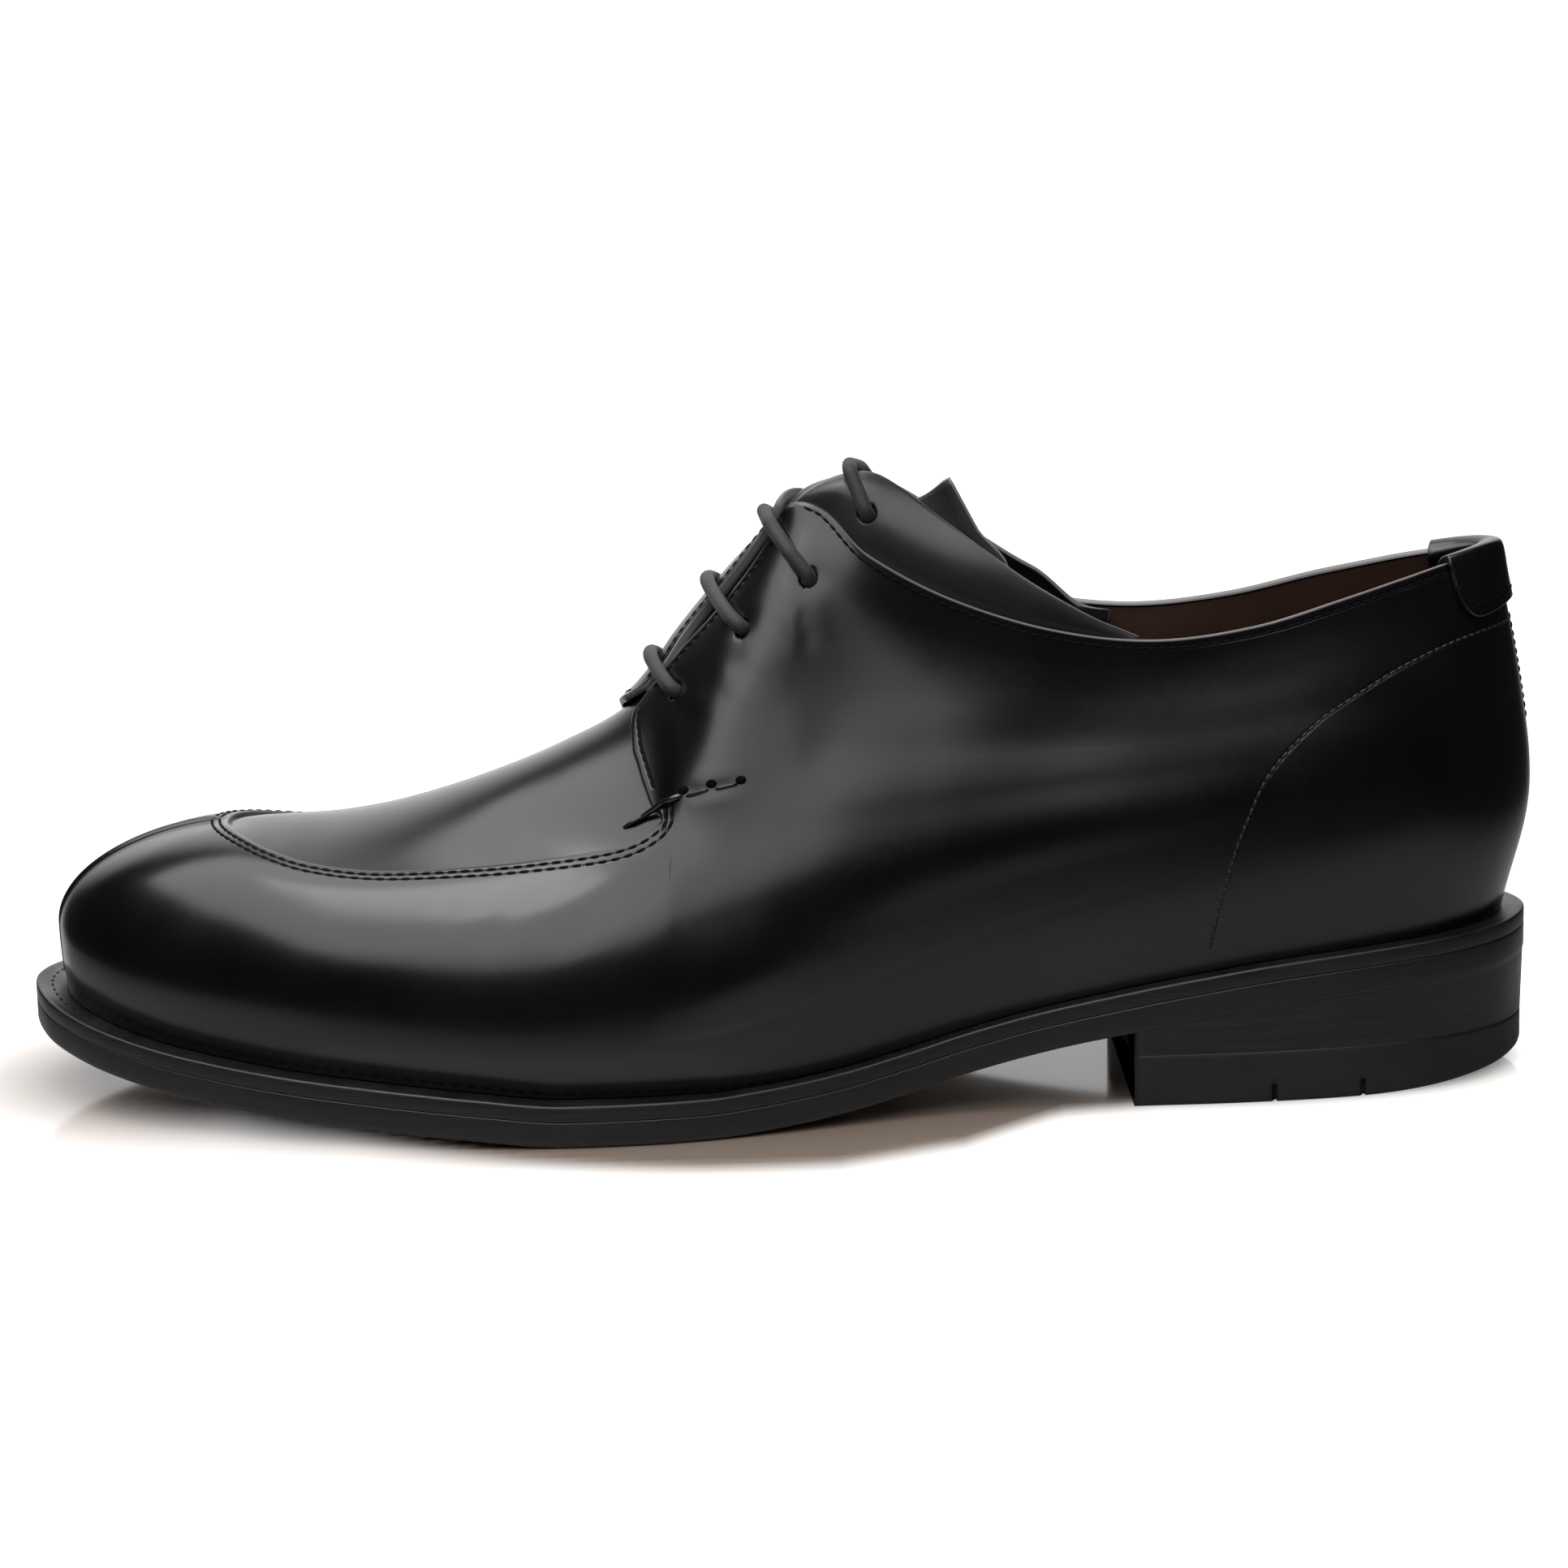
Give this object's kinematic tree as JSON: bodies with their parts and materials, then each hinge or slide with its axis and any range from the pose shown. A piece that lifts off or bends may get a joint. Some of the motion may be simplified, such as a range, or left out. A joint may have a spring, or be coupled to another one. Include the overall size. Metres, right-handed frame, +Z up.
{
  "type": "derby shoe",
  "caption": "Low lace-up leather derby shoe, left foot, with open lacing over a tongue, sunk apron, raised split seam at the toe, welted sole and stacked heel.",
  "frame": {"origin": "centre of the shoe's bounding box, on the floor plane that its forefoot and heel stand on", "axes": "+X towards the heel, -X towards the toe; -Y the outer (lateral) side of the left foot; +Z up"},
  "size_m": [0.3074, 0.1046, 0.1259],
  "materials": {
    "outsole_leather": "natural tan sole leather with a black edge",
    "welt_leather": "black, burnished",
    "insole_leather": "dark brown, matt",
    "stack_leather": "black, burnished",
    "lift_rubber": "black, matt",
    "upper_calf": "black smooth calf, satin",
    "band_calf": "black smooth calf, satin",
    "tongue_calf": "black smooth calf, satin",
    "tab_calf": "black smooth calf, satin",
    "lace_cord": "black round waxed cord"
  },
  "bodies": {
    "root": {"outsole": "outsole_leather", "welt": "welt_leather", "insole": "insole_leather", "heel_stack": "stack_leather", "heel_top_lift": "lift_rubber", "upper": "upper_calf", "collar_band_lateral": "band_calf", "collar_band_medial": "band_calf", "tongue": "tongue_calf", "heel_tab": "tab_calf", "lace_bar_1": "lace_cord", "lace_bar_2": "lace_cord", "lace_bar_3": "lace_cord", "lace_bar_4": "lace_cord"}
  },
  "joints": []
}
